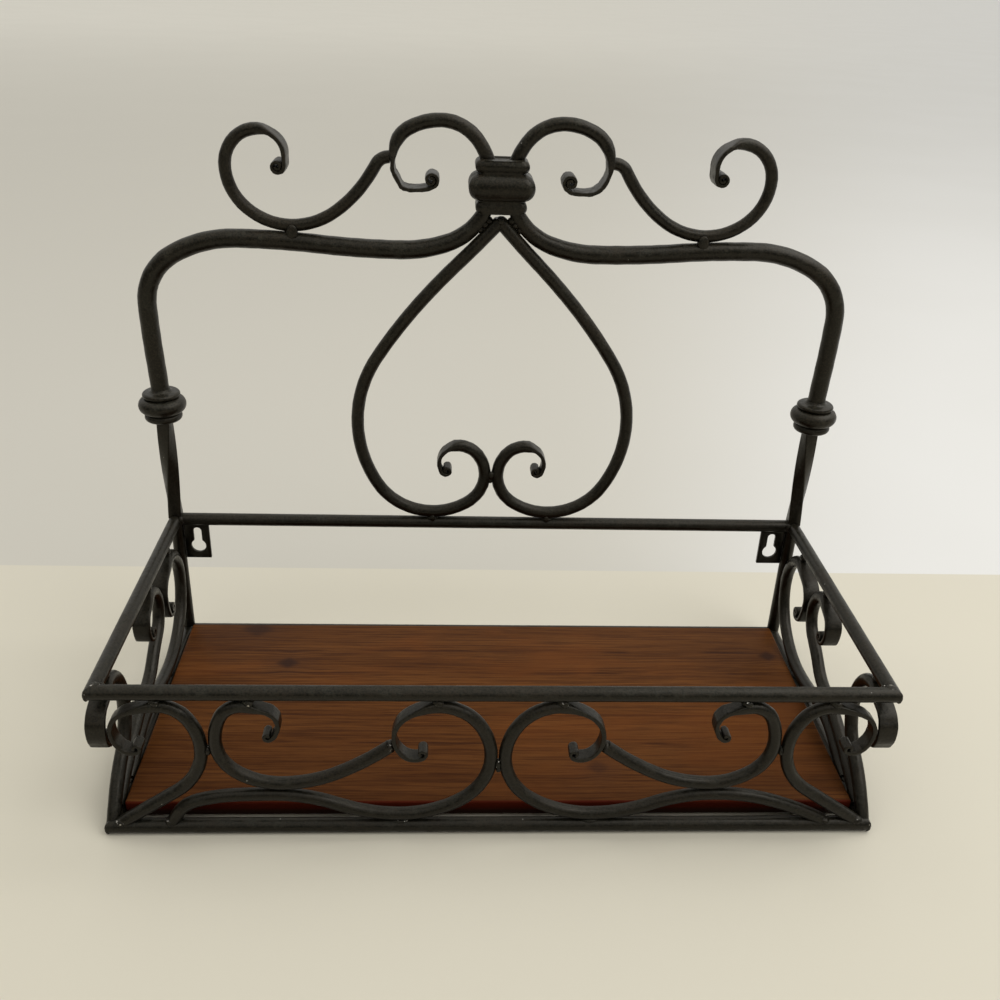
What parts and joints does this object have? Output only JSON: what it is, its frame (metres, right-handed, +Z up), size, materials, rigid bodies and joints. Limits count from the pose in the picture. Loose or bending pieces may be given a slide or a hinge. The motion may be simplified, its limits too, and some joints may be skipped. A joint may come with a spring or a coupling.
{
  "type": "wall shelf",
  "caption": "Scrolled steel wall shelf: a shallow railed tray with a wooden board under a heart and an arch, hung by two keyhole plates.",
  "frame": {"origin": "centre of the bounding box in plan, at the height that the base rails stand on", "axes": "+X to the right as seen from the front, +Y back towards the wall, +Z up; the front faces -Y"},
  "size_m": [0.4346, 0.2008, 0.3441],
  "materials": {
    "steel": "dark bronze-black semi-gloss paint over hand-worked steel bar",
    "wood": "reddish brown stain with a satin top coat"
  },
  "bodies": {
    "root": {"board": "wood", "base_rail_front": "steel", "base_rail_back": "steel", "base_rail_left": "steel", "base_rail_right": "steel", "rim_rail_front": "steel", "rim_rail_back": "steel", "rim_rail_left": "steel", "rim_rail_right": "steel", "back_post_left": "steel", "back_post_right": "steel", "front_large_scroll_left": "steel", "front_large_scroll_right": "steel", "front_small_scroll_left": "steel", "front_small_scroll_right": "steel", "front_corner_scroll_left": "steel", "front_corner_scroll_right": "steel", "side_rear_scroll_left": "steel", "side_rear_scroll_right": "steel", "side_middle_scroll_left": "steel", "side_middle_scroll_right": "steel", "side_corner_scroll_left": "steel", "side_corner_scroll_right": "steel", "hanger_plate_left": "steel", "hanger_plate_right": "steel", "twisted_upright_left": "steel", "twisted_upright_right": "steel", "side_collar_left": "steel", "side_collar_right": "steel", "arch_left": "steel", "arch_right": "steel", "heart_left": "steel", "heart_right": "steel", "centre_collar": "steel", "crown_curl_left": "steel", "crown_curl_right": "steel", "crown_side_scroll_left": "steel", "crown_side_scroll_right": "steel", "front_weld_beads": "steel", "side_weld_beads": "steel", "back_weld_beads": "steel"}
  },
  "joints": []
}
